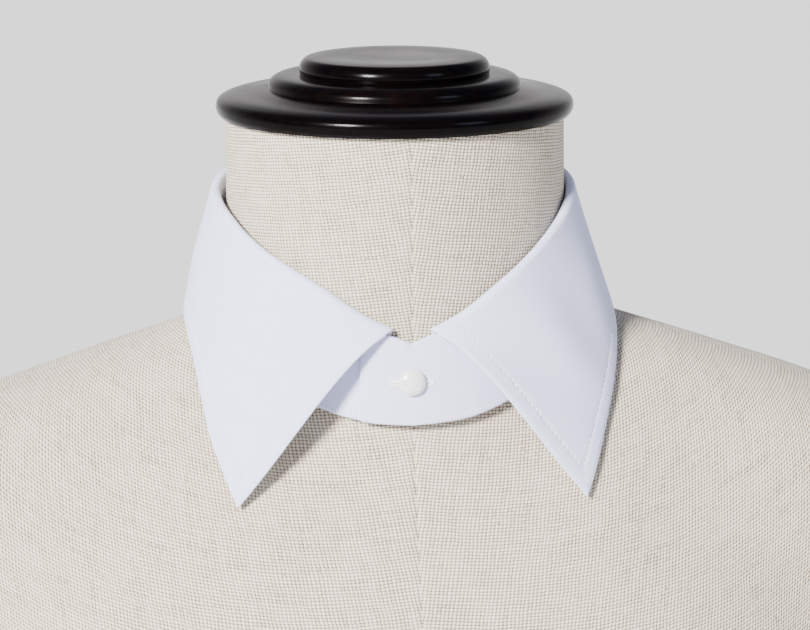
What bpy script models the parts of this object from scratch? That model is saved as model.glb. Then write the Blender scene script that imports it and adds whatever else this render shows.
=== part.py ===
"""A detachable shirt collar on a limbless, linen-covered form with a turned wooden neck cap.

Metres, +Z up. The neck's axis is the Z axis, the front faces -Y, and the base rests at z = 0.
A "drop" is a distance below the cap's flat top. A "turn" is an angle round the neck in degrees,
from the front centre towards +X, which is the wearer's left.
"""
import bmesh
import bpy
import numpy as np
from math import cos, pi, radians, sin

TOP = 0.640                 # height of the cap's flat top above the base
GAP = 0.0003                # clear space that pieces keep at seams and seats
CLOTH = 0.0012              # thickness of the collar's fused cloth

# Collar
COLLAR_SHIFT = -0.0008      # the worn collar sits a little to the wearer's right
LEAF_START = 4.5            # turn at which each leaf front leaves the centre
FOLD_ACROSS = 0.0645        # half width of the fold's crest, side to side
FOLD_DEEP = 0.0660          # half width of the fold's crest, front to back
FOOT_ACROSS = 0.0670        # the same for the stand's lower edge
FOOT_DEEP = 0.0676
ROLL_SIDE = 0.0013          # radius of the fold's roll at the sides and back
ROLL_FRONT = 0.0019         # and at the front, where it passes over both stand ends
SEAM_SIDE = 0.0052          # the stand's top edge lies this far below the crest
SEAM_FRONT = 0.0027
LAP = 0.0016                # distance between the two stand ends where they overlap
OVER_EASES = (20.0, 60.0)   # turns over which the layer that lies over comes back to the middle
UNDER_EASES = (300.0, 340.0)
OVER_END = 15.7             # how far each stand end passes the front centre, in turn
ROLL_EASES = (12.0, 42.0)   # turns from the front over which the fold's roll tightens
SEAM_EASES = 40.0           # turn from the front at which the seam has reached its full depth
WORN_FRONT = (22.0, 52.0)   # turns from the front between which the wear shows
WORN_BACK = (90.0, 140.0)
STAND_FLARE = 1.2           # how late the stand's wall flares towards its lower edge
EDGE_HANG = 0.10            # how much steeper than its chord the leaf hangs at its edge
WORN_LIFT = 0.0012          # the fold rides higher over the left shoulder than over the right
WORN_SPLAY = 0.0017         # and the leaf stands out further there
TOP_CORNER = 0.0095         # rounded upper corner of a stand end
LOW_CORNER = 0.0016         # its nearly square lower corner

# Fold line and stand: turn from the front, drop of the fold's crest, drop of the stand's lower edge
CREST, FOOT = range(1, 3)
NECKLINE = (
    (0.0, 0.0890, 0.1197),
    (14.0, 0.0820, 0.1186),
    (28.0, 0.0727, 0.1150),
    (42.0, 0.0649, 0.1085),
    (57.0, 0.0575, 0.0993),
    (72.0, 0.0511, 0.0902),
    (90.0, 0.0467, 0.0862),
    (130.0, 0.0427, 0.0860),
    (180.0, 0.0414, 0.0848),
)

# Leaf: fold turn, then the outer edge's own turn, radius and drop, then the fall's first direction
EDGE_TURN, EDGE_RADIUS, EDGE_DROP, SIDEWAYS, OUTWARD, FULLNESS = range(1, 7)
LEAF = (
    (4.5, 41.0, 0.0930, 0.1468, 0.90, 0.40, 0.72),
    (9.0, 43.2, 0.0924, 0.1418, 0.76, 0.34, 0.80),
    (18.0, 47.6, 0.0906, 0.1328, 0.58, 0.29, 0.88),
    (28.0, 52.4, 0.0884, 0.1245, 0.49, 0.28, 0.90),
    (38.0, 57.6, 0.0859, 0.1160, 0.42, 0.27, 0.90),
    (50.0, 64.6, 0.0830, 0.1070, 0.33, 0.28, 0.90),
    (62.0, 72.4, 0.0806, 0.0995, 0.23, 0.28, 0.90),
    (75.0, 83.0, 0.0787, 0.0943, 0.15, 0.28, 0.90),
    (90.0, 96.0, 0.0779, 0.0922, 0.09, 0.27, 0.90),
    (110.0, 113.5, 0.0775, 0.0902, 0.05, 0.25, 0.90),
    (135.0, 137.0, 0.0763, 0.0884, 0.02, 0.24, 0.90),
    (180.0, 180.0, 0.0752, 0.0872, 0.00, 0.24, 0.90),
)

# Stud
STUD_DROP = 0.1048          # height of the stud holes
STUD_SHANK = 0.0016         # radius
STUD_HOLE = STUD_SHANK + GAP
STUD_HEAD = 0.0047
STUD_BACK = 0.0058
HEAD_CLEAR = 0.0006         # the head stands this far in front of the cloth
BACK_CLEAR = 0.0005
HOLE_REACH = 0.006
HEAD_PROFILE = (            # radius, height above the head's rim
    (0.0, 0.0024),
    (0.0017, 0.0022),
    (0.0033, 0.0015),
    (0.0044, 0.0006),
    (STUD_HEAD, 0.0002),
    (0.0044, 0.0),
    (STUD_SHANK, 0.0),
)
BACK_PROFILE = (            # radius, depth behind the back plate's front face
    (STUD_SHANK, 0.0),
    (STUD_BACK - 0.0003, 0.0),
    (STUD_BACK, 0.0004),
    (STUD_BACK - 0.0004, 0.0008),
    (0.0, 0.0009),
)

# Form
NECK_TOP = 0.0207           # drop of the covered neck's flat top
NECK_RADIUS = 0.0611
NECK_FLARE = 0.009          # widening of the neck for each unit of drop
NECK_END = 0.078            # drop at which the neck begins to run into the shoulders
NECK_HIDDEN = 0.2           # below this drop the trunk and shoulders hide the neck
BLEND = 0.018               # length over which neck, chest and shoulders melt into each other
SQUARENESS = 2.35
BASE_EDGE = 0.006           # rounding of the base's edge
BASE_BENDS = (30.0, 60.0, 90.0)

# Trunk: drop, half width, depth to the front, depth to the back
WIDTH, FRONT, BACK = range(1, 4)
TRUNK = (
    (0.060, 0.015, 0.010, 0.030),
    (0.084, 0.040, 0.022, 0.0600),
    (0.092, 0.050, 0.027, 0.0690),
    (0.100, 0.064, 0.034, 0.0760),
    (0.112, 0.092, 0.047, 0.0840),
    (0.121, 0.105, 0.0560, 0.0885),
    (0.130, 0.116, 0.0630, 0.0925),
    (0.146, 0.137, 0.0715, 0.0985),
    (0.170, 0.158, 0.0840, 0.1050),
    (0.200, 0.170, 0.0970, 0.1105),
    (0.250, 0.176, 0.1110, 0.1140),
    (0.300, 0.173, 0.1150, 0.1120),
    (0.370, 0.160, 0.1080, 0.1010),
    (0.440, 0.150, 0.0990, 0.0925),
    (0.520, 0.154, 0.1000, 0.0985),
    (0.600, 0.166, 0.1050, 0.1080),
    (0.640, 0.168, 0.1060, 0.1100),
)

# Shoulders: drop, half width, half depth and squareness of the lobe that carries them
LOBE_WIDTH, LOBE_DEPTH, LOBE_SQUARE = range(1, 4)
SHOULDER_BACK = 0.008       # the shoulder line lies this far behind the neck's axis
SHOULDERS = (
    (0.080, 0.037, 0.020, 2.35),
    (0.095, 0.078, 0.031, 2.35),
    (0.110, 0.122, 0.044, 2.40),
    (0.125, 0.163, 0.052, 2.60),
    (0.136, 0.185, 0.057, 2.80),
    (0.150, 0.198, 0.062, 3.00),
    (0.175, 0.206, 0.067, 3.20),
    (0.210, 0.205, 0.069, 3.20),
    (0.250, 0.198, 0.067, 3.00),
    (0.290, 0.186, 0.062, 2.80),
    (0.330, 0.168, 0.054, 2.60),
    (0.400, 0.130, 0.040, 2.40),
    (0.640, 0.080, 0.020, 2.35),
)

# Mesh: sections round and rows down each solid
LEAF_SECTIONS = 65
LEAF_CROWDING = 0.88        # under 1, the leaf's sections lie closer together at both fronts
LEAF_ROWS = (2, 6, 9)       # up from the seam, over the roll, down the fall
STAND_SECTIONS = 60
STAND_END_SECTIONS = 6
STAND_ROWS = 7
FORM_MERIDIANS = 60
FORM_CROWDING = 0.24        # the meridians lie closer together at both shoulders
NECK_RINGS = 4
BODY_RINGS = 32
RING_SPREAD = 1.35          # over 1, the rings lie closer together near the neck
RUN_SAMPLES = 1200
CAP_SEGMENTS = 48
STUD_SEGMENTS = 24
HOLE_SEGMENTS = 16

# Cap: the turned profile, radius and drop, from the centre of the flat top round to its underside
CAP_PROFILE = (
    (0.0000, 0.0000),
    (0.0302, 0.0000),
    (0.0320, 0.0004),
    (0.0336, 0.0017),
    (0.0344, 0.0037),
    (0.0342, 0.0059),
    (0.0395, 0.0061),
    (0.0430, 0.0068),
    (0.0452, 0.0085),
    (0.0459, 0.0108),
    (0.0520, 0.0120),
    (0.0622, 0.0138),
    (0.0640, 0.0150),
    (0.0646, 0.0169),
    (0.0643, 0.0188),
    (0.0632, 0.0204),
    (0.0000, 0.0204),
)


def curve(rows, column):
    """A smooth curve through one column of a table, read against the table's first column."""
    at = np.array([row[0] for row in rows])
    value = np.array([row[column] for row in rows])
    step = np.diff(at)
    rise = np.diff(value) / step
    product = rise[:-1] * rise[1:]
    mean = np.where(product > 0, 2 * product / np.where(product > 0, rise[:-1] + rise[1:], 1), 0)
    slope = np.concatenate([rise[:1], mean, rise[-1:]])

    def read(x):
        x = np.clip(x, at[0], at[-1])
        i = np.clip(np.searchsorted(at, x) - 1, 0, len(step) - 1)
        t = (x - at[i]) / step[i]
        start = (1 + 2 * t) * (1 - t) ** 2 * value[i] + t * (1 - t) ** 2 * step[i] * slope[i]
        return start + t * t * (3 - 2 * t) * value[i + 1] + t * t * (t - 1) * step[i] * slope[i + 1]

    return read


def ease(x):
    """A soft step from 0 to 1 as x goes from 0 to 1."""
    x = np.clip(x, 0.0, 1.0)
    return x * x * (3 - 2 * x)


def ease_between(x, limits):
    """A soft step from 0 to 1 as x goes from the first limit to the second."""
    start, stop = limits
    return ease((x - start) / (stop - start))


def ring(across, deep, turn):
    """Radius of an oval round the neck at a turn."""
    return across * deep / np.hypot(deep * np.sin(np.radians(turn)), across * np.cos(np.radians(turn)))


def place(turn, radius, drop):
    """A point from its turn, its radius from the neck's axis and its drop."""
    angle = np.radians(turn)
    return np.array([radius * np.sin(angle), -radius * np.cos(angle), TOP - drop])


def from_front(turn):
    """The angle from the front centre, 0 to 180, whichever way round."""
    return abs((turn + 180.0) % 360.0 - 180.0)


def lap(turn):
    """How far a layer moves out at the end that lies over, or in at the end that lies under."""
    over = 1 - ease_between(turn, OVER_EASES)
    under = ease_between(turn, UNDER_EASES)
    return LAP / 2 * (over - under)


neckline_rule = {column: curve(NECKLINE, column) for column in (CREST, FOOT)}
leaf_rule = {column: curve(LEAF, column) for column in range(EDGE_TURN, FULLNESS + 1)}


def worn(turn):
    """How unevenly the collar is worn: 1 over the left shoulder, -1 over the right, 0 elsewhere."""
    front = from_front(turn)
    side = 1.0 if turn <= 180.0 else -1.0
    return side * ease_between(front, WORN_FRONT) * (1 - ease_between(front, WORN_BACK))


def crest_drop(turn):
    return neckline_rule[CREST](from_front(turn)) - WORN_LIFT * worn(turn)


def foot_drop(turn):
    return neckline_rule[FOOT](from_front(turn))


def roll_radius(turn):
    """Radius of the fold's roll."""
    return ROLL_SIDE + (ROLL_FRONT - ROLL_SIDE) * (1 - ease_between(from_front(turn), ROLL_EASES))


def seam_radius(turn):
    """Middle of the wall at the seam where the stand meets the leaf."""
    return ring(FOLD_ACROSS, FOLD_DEEP, turn) - roll_radius(turn) + lap(turn)


def seam_drop(turn):
    below = SEAM_FRONT + (SEAM_SIDE - SEAM_FRONT) * ease(from_front(turn) / SEAM_EASES)
    return crest_drop(turn) + below


def stand_section(turn, from_end, levels):
    """The stand's middle line at a turn, top to bottom. from_end is the distance to the nearer end."""
    def corner(size):
        return size - np.sqrt(max(size**2 - max(size - from_end, 0.0) ** 2, 0.0))

    top = seam_drop(turn) + corner(TOP_CORNER)
    foot = foot_drop(turn) - corner(LOW_CORNER)
    full_top, full_foot = seam_drop(turn), foot_drop(turn)
    foot_radius = ring(FOOT_ACROSS, FOOT_DEEP, turn) + lap(turn)
    points = []
    for level in np.linspace(0, 1, levels):
        drop = top + (foot - top) * level
        down = (drop - full_top) / (full_foot - full_top)
        radius = seam_radius(turn) + (foot_radius - seam_radius(turn)) * down**STAND_FLARE
        points.append(place(turn, radius, drop))
    return points


def leaf_section(turn, leg_steps, roll_steps, fall_steps):
    """The leaf's middle line at a fold turn: up from the seam, over the roll and down to its edge."""
    front = from_front(turn)
    side = 1.0 if turn <= 180.0 else -1.0
    rule = {column: float(read(front)) for column, read in leaf_rule.items()}
    radius, roll, crest = seam_radius(turn), roll_radius(turn), crest_drop(turn)
    lateral, outward = rule[SIDEWAYS], rule[OUTWARD]
    down = np.sqrt(1 - lateral**2)
    angle = radians(turn)
    out = np.array([sin(angle), -cos(angle), 0.0])
    along = np.array([cos(angle), sin(angle), 0.0]) * side
    fall = np.array([0.0, 0.0, -1.0])

    points = []
    for drop in np.linspace(seam_drop(turn) - GAP, crest + roll, leg_steps, endpoint=False):
        points.append(place(turn, radius, drop))
    centre = place(turn, radius + roll, crest + roll)
    last = pi - np.arctan(outward)
    for bend in np.linspace(0, last, roll_steps):
        slide = lateral / down * roll * (bend - sin(bend)) / 2
        round_roll = out * roll * cos(bend) + fall * roll * sin(bend)
        points.append(centre - round_roll + along * min(slide, 2 * roll))
    start = points[-1]
    edge_radius = rule[EDGE_RADIUS] + WORN_SPLAY * worn(turn)
    end = place(side * rule[EDGE_TURN], edge_radius, rule[EDGE_DROP])
    chord = end - start
    length = np.linalg.norm(chord)
    leave = along * lateral + fall * down + out * outward
    leave *= rule[FULLNESS] * length / np.linalg.norm(leave)
    arrive = chord - EDGE_HANG * length * out
    for t in np.linspace(0, 1, fall_steps + 1)[1:]:
        points.append(
            (1 + 2 * t) * (1 - t) ** 2 * start + t * (1 - t) ** 2 * leave
            + t * t * (3 - 2 * t) * end + t * t * (t - 1) * arrive
        )
    return points


def grid_normals(grid):
    """Unit normals of a grid of points, worked out from its neighbours."""
    along = np.gradient(grid, axis=0)
    across = np.gradient(grid, axis=1)
    normal = np.cross(along, across)
    return normal / np.linalg.norm(normal, axis=2, keepdims=True)


def wall(grid, thickness):
    """Points and faces of a closed cloth wall round a grid of middle points."""
    normal = grid_normals(grid)
    rows, columns = grid.shape[:2]
    points = np.concatenate([(grid + normal * thickness / 2).reshape(-1, 3),
                             (grid - normal * thickness / 2).reshape(-1, 3)])
    back = rows * columns
    faces = []
    for i in range(rows - 1):
        for j in range(columns - 1):
            a, b = i * columns + j, (i + 1) * columns + j
            faces.append((a, b, b + 1, a + 1))
            faces.append((back + a, back + a + 1, back + b + 1, back + b))
    border = [i * columns for i in range(rows)]
    border += [(rows - 1) * columns + j for j in range(1, columns)]
    border += [i * columns + columns - 1 for i in range(rows - 2, -1, -1)]
    border += [j for j in range(columns - 2, 0, -1)]
    for a, b in zip(border, border[1:] + border[:1]):
        faces.append((b, a, back + a, back + b))
    return points, faces


def add_object(name, points, faces, material):
    """A closed mesh object whose faces point outwards."""
    mesh = bpy.data.meshes.new(name)
    mesh.from_pydata([tuple(p) for p in points], [], faces)
    body = bmesh.new()
    body.from_mesh(mesh)
    bmesh.ops.recalc_face_normals(body, faces=body.faces)
    body.to_mesh(mesh)
    body.free()
    mesh.shade_smooth()
    mesh.set_sharp_from_angle(angle=radians(40))
    mesh.materials.append(material)
    item = bpy.data.objects.new(name, mesh)
    bpy.context.scene.collection.objects.link(item)
    return item


def add_turned(name, profile, segments, material):
    """A turned piece: a profile of (radius, height) points, top to bottom, spun round Z."""
    mesh = bpy.data.meshes.new(name)
    points = [(radius, 0.0, height) for radius, height in profile]
    mesh.from_pydata(points, [(i, i + 1) for i in range(len(points) - 1)], [])
    if material:
        mesh.materials.append(material)
    item = bpy.data.objects.new(name, mesh)
    bpy.context.scene.collection.objects.link(item)
    screw = item.modifiers.new("Turn", "SCREW")
    screw.steps = screw.render_steps = segments
    screw.use_merge_vertices = True
    screw.merge_threshold = 0.00001
    screw.use_smooth_shade = True
    return item


def make_material(name, colour, roughness, metallic=0.0, coat=0.0):
    material = bpy.data.materials.new(name)
    material.use_nodes = True
    shader = material.node_tree.nodes["Principled BSDF"]
    shader.inputs["Base Color"].default_value = (*colour, 1.0)
    shader.inputs["Roughness"].default_value = roughness
    shader.inputs["Metallic"].default_value = metallic
    shader.inputs["Coat Weight"].default_value = coat
    return material


def melt(a, b):
    """The larger of two radii, with a soft fillet where they are nearly equal."""
    near = np.clip(1 - np.abs(a - b) / BLEND, 0.0, 1.0)
    return np.maximum(a, b) + near**2 * BLEND / 4


trunk_rule = {column: curve(TRUNK, column) for column in (WIDTH, FRONT, BACK)}
shoulder_rule = {column: curve(SHOULDERS, column) for column in (LOBE_WIDTH, LOBE_DEPTH, LOBE_SQUARE)}


def oval(turn, across, deep, square):
    """Radius of a squarish oval at a turn: an ellipse where square is 2, a box where it is large."""
    angle = np.radians(turn)
    wide = (np.abs(np.sin(angle)) / across) ** square
    long = (np.abs(np.cos(angle)) / deep) ** square
    return (wide + long) ** (-1 / square)


def form_radius(turn, drop):
    """Radius of the covered form at a turn and a drop."""
    neck = NECK_RADIUS + NECK_FLARE * (drop - NECK_TOP)
    neck = np.where(drop < NECK_HIDDEN, neck, NECK_RADIUS)
    facing = np.cos(np.radians(turn))
    trunk = oval(turn, trunk_rule[WIDTH](drop),
                 np.where(facing > 0, trunk_rule[FRONT](drop), trunk_rule[BACK](drop)), SQUARENESS)
    depth = shoulder_rule[LOBE_DEPTH](drop) - SHOULDER_BACK * facing
    shoulder = oval(turn, shoulder_rule[LOBE_WIDTH](drop), depth, shoulder_rule[LOBE_SQUARE](drop))
    return melt(melt(neck, trunk), shoulder)


def form_meridian(turn):
    """Points down the form at one turn, close together where the neck runs into the shoulders."""
    drops = list(np.linspace(NECK_TOP, NECK_END, NECK_RINGS, endpoint=False))
    fine = np.linspace(NECK_END, TOP - BASE_EDGE, RUN_SAMPLES)
    radius = form_radius(turn, fine)
    run = np.concatenate([[0.0], np.cumsum(np.hypot(np.diff(fine), np.diff(radius)))])
    share = np.linspace(0, 1, BODY_RINGS) ** RING_SPREAD
    drops += list(np.interp(share * run[-1], run, fine))
    points = [place(turn, form_radius(turn, drop), drop) for drop in drops]
    foot = form_radius(turn, TOP - BASE_EDGE)
    for bend in BASE_BENDS:
        inset = BASE_EDGE * (1 - cos(radians(bend)))
        points.append(place(turn, foot - inset, TOP - BASE_EDGE * (1 - sin(radians(bend)))))
    return points


def build_form(material):
    """The limbless form: neck, shoulders, chest and waist in one smooth covered solid."""
    steps = np.arange(FORM_MERIDIANS) * 2 * pi / FORM_MERIDIANS
    turns = np.degrees(steps + FORM_CROWDING * np.sin(2 * steps))
    grid = [form_meridian(turn) for turn in turns]
    rings = len(grid[0])
    points = [p for meridian in grid for p in meridian]
    faces = []
    for i in range(FORM_MERIDIANS):
        j = (i + 1) % FORM_MERIDIANS
        for k in range(rings - 1):
            faces.append((i * rings + k, i * rings + k + 1, j * rings + k + 1, j * rings + k))
    faces.append(tuple(i * rings for i in range(FORM_MERIDIANS)))
    faces.append(tuple(i * rings + rings - 1 for i in range(FORM_MERIDIANS)))
    return add_object("form_body", points, faces, material)


def build_cap(material):
    profile = [(radius, TOP - drop) for radius, drop in CAP_PROFILE]
    return add_turned("form_cap", profile, CAP_SEGMENTS, material)


def stand_turns():
    """Turns of the stand's sections, close together at both rounded ends."""
    end = ring(FOOT_ACROSS, FOOT_DEEP, 0.0)
    corner = np.degrees(TOP_CORNER / end)
    near = corner * (1 - np.cos(np.linspace(0, pi / 2, STAND_END_SECTIONS)))
    middle = np.linspace(-OVER_END + corner, 360 + OVER_END - corner, STAND_SECTIONS)
    return np.concatenate([-OVER_END + near[:-1], middle, 360 + OVER_END - near[:-1][::-1]])


def build_stand(material, hole):
    """The stand: one band round the neck whose ends overlap, bored for the stud."""
    grid = []
    for turn in stand_turns():
        from_end = np.radians(min(turn + OVER_END, 360 + OVER_END - turn)) * FOOT_DEEP
        grid.append(stand_section(turn, from_end, STAND_ROWS))
    grid = np.array(grid) + np.array([COLLAR_SHIFT, 0, 0])
    item = add_object("collar_stand", *wall(grid, CLOTH), material)
    cut = item.modifiers.new("Stud hole", "BOOLEAN")
    cut.operation = "DIFFERENCE"
    cut.object = hole
    cut.solver = "EXACT"
    return item


def build_leaf(material):
    """The leaf: it leaves the stand's top edge, rolls over and falls to its two points."""
    steps = np.linspace(-1, 1, LEAF_SECTIONS)
    turns = 180 + (180 - LEAF_START) * np.sign(steps) * np.abs(steps) ** LEAF_CROWDING
    grid = np.array([leaf_section(turn, *LEAF_ROWS) for turn in turns]) + np.array([COLLAR_SHIFT, 0, 0])
    return add_object("collar_leaf", *wall(grid, CLOTH), material)


def stud_seat():
    """Where the stud's axis crosses the middle of the overlapped ends, and how far it tips up."""
    top, foot = seam_drop(0.0), foot_drop(0.0)
    level = (STUD_DROP - top) / (foot - top)
    upper, lower = seam_radius(0.0) - lap(0.0), FOOT_DEEP
    radius = upper + (lower - upper) * level**STAND_FLARE
    tip = np.arctan(STAND_FLARE * level ** (STAND_FLARE - 1) * (lower - upper) / (foot - top))
    return place(0.0, radius, STUD_DROP) + np.array([COLLAR_SHIFT, 0, 0]), float(tip)


def aim(item, seat, tip):
    """Put an item made along Z on the stud's axis, its +Z end facing the front."""
    item.location = seat
    item.rotation_euler = (pi / 2 - tip, 0.0, 0.0)


def build_hole(seat, tip):
    """The cutter that bores both stand ends for the stud."""
    profile = [(0.0, HOLE_REACH), (STUD_HOLE, HOLE_REACH), (STUD_HOLE, -HOLE_REACH), (0.0, -HOLE_REACH)]
    item = add_turned("stud_hole_cutter", profile, HOLE_SEGMENTS, None)
    item.hide_render = True
    item.display_type = "WIRE"
    aim(item, seat, tip)
    return item


def build_stud(seat, tip, material):
    """The collar stud: a domed front head, a shank and a flat back."""
    layers = LAP / 2 + CLOTH / 2
    head = layers + HEAD_CLEAR
    back = -layers - BACK_CLEAR
    profile = [(radius, head + height) for radius, height in HEAD_PROFILE]
    profile += [(radius, back - depth) for radius, depth in BACK_PROFILE]
    item = add_turned("front_stud", profile, STUD_SEGMENTS, material)
    aim(item, seat, tip)
    return item


def build():
    for item in list(bpy.data.objects):
        bpy.data.objects.remove(item)
    linen = make_material("linen_cover", (0.66, 0.62, 0.54), 0.9)
    wood = make_material("lacquered_wood", (0.020, 0.012, 0.010), 0.25, coat=0.6)
    cotton = make_material("white_cotton", (0.86, 0.87, 0.90), 0.75)
    shell = make_material("stud_face", (0.85, 0.84, 0.80), 0.25)
    build_form(linen)
    build_cap(wood)
    seat, tip = stud_seat()
    build_stand(cotton, build_hole(seat, tip))
    build_leaf(cotton)
    build_stud(seat, tip, shell)


if __name__ == "__main__":
    build()
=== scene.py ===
from math import atan2, cos, pi, radians, sin, sqrt

import bmesh
import bpy
import numpy as np
from mathutils import Matrix, Vector
from mathutils.bvhtree import BVHTree


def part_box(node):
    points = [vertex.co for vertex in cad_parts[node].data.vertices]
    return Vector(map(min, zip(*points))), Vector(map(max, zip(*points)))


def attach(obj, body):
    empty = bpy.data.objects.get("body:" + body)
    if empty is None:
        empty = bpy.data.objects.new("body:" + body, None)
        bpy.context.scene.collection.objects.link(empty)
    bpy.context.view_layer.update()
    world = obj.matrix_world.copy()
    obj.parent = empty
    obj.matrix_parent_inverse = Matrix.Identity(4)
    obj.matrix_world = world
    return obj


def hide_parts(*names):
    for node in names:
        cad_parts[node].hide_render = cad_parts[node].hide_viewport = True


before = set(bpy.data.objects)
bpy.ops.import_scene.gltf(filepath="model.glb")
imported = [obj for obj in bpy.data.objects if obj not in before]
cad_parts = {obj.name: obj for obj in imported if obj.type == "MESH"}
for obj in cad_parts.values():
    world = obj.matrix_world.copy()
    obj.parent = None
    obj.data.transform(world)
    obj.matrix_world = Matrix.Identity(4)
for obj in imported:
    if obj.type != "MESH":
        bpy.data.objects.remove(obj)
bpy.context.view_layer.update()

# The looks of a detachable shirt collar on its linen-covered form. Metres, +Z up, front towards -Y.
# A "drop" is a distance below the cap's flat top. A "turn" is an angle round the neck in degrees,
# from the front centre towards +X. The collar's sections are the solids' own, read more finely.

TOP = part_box("form_cap")[1].z
MM = 0.001
BODY = "root"

# Collar
CLOTH = 1.2 * MM
COLLAR_SHIFT = -0.0008
LEAF_START = 4.5
FOLD_ACROSS = 0.0645
FOLD_DEEP = 0.0660
FOOT_ACROSS = 0.0670
FOOT_DEEP = 0.0676
ROLL_SIDE = 0.0013
ROLL_FRONT = 0.0019
SEAM_SIDE = 0.0052
SEAM_FRONT = 0.0027
LAP = 0.0016
OVER_EASES = (20.0, 60.0)
UNDER_EASES = (300.0, 340.0)
OVER_END = 15.7
ROLL_EASES = (12.0, 42.0)
SEAM_EASES = 40.0
WORN_FRONT = (22.0, 52.0)
WORN_BACK = (90.0, 140.0)
STAND_FLARE = 1.2
EDGE_HANG = 0.10
WORN_LIFT = 0.0012
WORN_SPLAY = 0.0017
TOP_CORNER = 0.0095
LOW_CORNER = 0.0016
GAP = 0.0003

# Fold line and stand: turn from the front, drop of the fold's crest, drop of the stand's lower edge
CREST, FOOT = range(1, 3)
NECKLINE = (
    (0.0, 0.0890, 0.1197),
    (14.0, 0.0820, 0.1186),
    (28.0, 0.0727, 0.1150),
    (42.0, 0.0649, 0.1085),
    (57.0, 0.0575, 0.0993),
    (72.0, 0.0511, 0.0902),
    (90.0, 0.0467, 0.0862),
    (130.0, 0.0427, 0.0860),
    (180.0, 0.0414, 0.0848),
)

# Leaf: fold turn, then the outer edge's own turn, radius and drop, then the fall's first direction
EDGE_TURN, EDGE_RADIUS, EDGE_DROP, SIDEWAYS, OUTWARD, FULLNESS = range(1, 7)
LEAF = (
    (4.5, 41.0, 0.0930, 0.1468, 0.90, 0.40, 0.72),
    (9.0, 43.2, 0.0924, 0.1418, 0.76, 0.34, 0.80),
    (18.0, 47.6, 0.0906, 0.1328, 0.58, 0.29, 0.88),
    (28.0, 52.4, 0.0884, 0.1245, 0.49, 0.28, 0.90),
    (38.0, 57.6, 0.0859, 0.1160, 0.42, 0.27, 0.90),
    (50.0, 64.6, 0.0830, 0.1070, 0.33, 0.28, 0.90),
    (62.0, 72.4, 0.0806, 0.0995, 0.23, 0.28, 0.90),
    (75.0, 83.0, 0.0787, 0.0943, 0.15, 0.28, 0.90),
    (90.0, 96.0, 0.0779, 0.0922, 0.09, 0.27, 0.90),
    (110.0, 113.5, 0.0775, 0.0902, 0.05, 0.25, 0.90),
    (135.0, 137.0, 0.0763, 0.0884, 0.02, 0.24, 0.90),
    (180.0, 180.0, 0.0752, 0.0872, 0.00, 0.24, 0.90),
)

# Sewing
LEAF_INSET = 5.7 * MM       # topstitching inside the leaf's free edges
STAND_INSET = 1.8 * MM      # and inside the stand's edges
PITCH = 2.25 * MM           # from one stitch to the next
STITCH = 1.3 * MM           # length of one stitch
THREAD = 0.40 * MM
GROOVE = 0.13 * MM          # how deep the topstitching pulls the cloth in
PUFF = 0.12 * MM            # how far the turned edge swells between the stitching and the edge
RIPPLE = 0.10 * MM          # height of the small puckers along the topstitching
RIPPLE_LENGTH = 8.3 * MM
EDGE_ROUND = 1.6 * MM       # how far in from a free edge its roll begins
EDGE_BLUNT = 0.16           # share of the cloth's thickness left at the edge itself
EDGE_SEAM = 0.95 * MM       # the turned edge's own seam line

# Stud
STUD_DROP = 0.1048
STUD_SHANK = 0.0016
STUD_HEAD = 0.0047
STUD_BACK = 0.0058
BUTTONHOLE = 7.0 * MM       # half length

# Form
NECK_TOP = 0.0207
NECK_RADIUS = 0.0611
NECK_FLARE = 0.009
NECK_HIDDEN = 0.2
BLEND = 0.018
SQUARENESS = 2.35
BASE_EDGE = 0.006
SHOULDER_BACK = 0.008
LINEN_WARP = 1.40 * MM      # from one upright linen thread to the next
LINEN_WEFT = 1.15 * MM      # and from one level thread to the next
COTTON_PITCH = 0.28 * MM
SEAM_TURNS = (0.0, 90.0, 180.0, 270.0)
GRAIN_LEAN = 0.18           # the cover's panels flare: their threads lean towards the front seam
GRAIN_DROOP = 0.11

WIDTH, FRONT, BACK = range(1, 4)
TRUNK = (
    (0.060, 0.015, 0.010, 0.030),
    (0.084, 0.040, 0.022, 0.0600),
    (0.092, 0.050, 0.027, 0.0690),
    (0.100, 0.064, 0.034, 0.0760),
    (0.112, 0.092, 0.047, 0.0840),
    (0.121, 0.105, 0.0560, 0.0885),
    (0.130, 0.116, 0.0630, 0.0925),
    (0.146, 0.137, 0.0715, 0.0985),
    (0.170, 0.158, 0.0840, 0.1050),
    (0.200, 0.170, 0.0970, 0.1105),
    (0.250, 0.176, 0.1110, 0.1140),
    (0.300, 0.173, 0.1150, 0.1120),
    (0.370, 0.160, 0.1080, 0.1010),
    (0.440, 0.150, 0.0990, 0.0925),
    (0.520, 0.154, 0.1000, 0.0985),
    (0.600, 0.166, 0.1050, 0.1080),
    (0.640, 0.168, 0.1060, 0.1100),
)

LOBE_WIDTH, LOBE_DEPTH, LOBE_SQUARE = range(1, 4)
SHOULDERS = (
    (0.080, 0.037, 0.020, 2.35),
    (0.095, 0.078, 0.031, 2.35),
    (0.110, 0.122, 0.044, 2.40),
    (0.125, 0.163, 0.052, 2.60),
    (0.136, 0.185, 0.057, 2.80),
    (0.150, 0.198, 0.062, 3.00),
    (0.175, 0.206, 0.067, 3.20),
    (0.210, 0.205, 0.069, 3.20),
    (0.250, 0.198, 0.067, 3.00),
    (0.290, 0.186, 0.062, 2.80),
    (0.330, 0.168, 0.054, 2.60),
    (0.400, 0.130, 0.040, 2.40),
    (0.640, 0.080, 0.020, 2.35),
)

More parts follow.
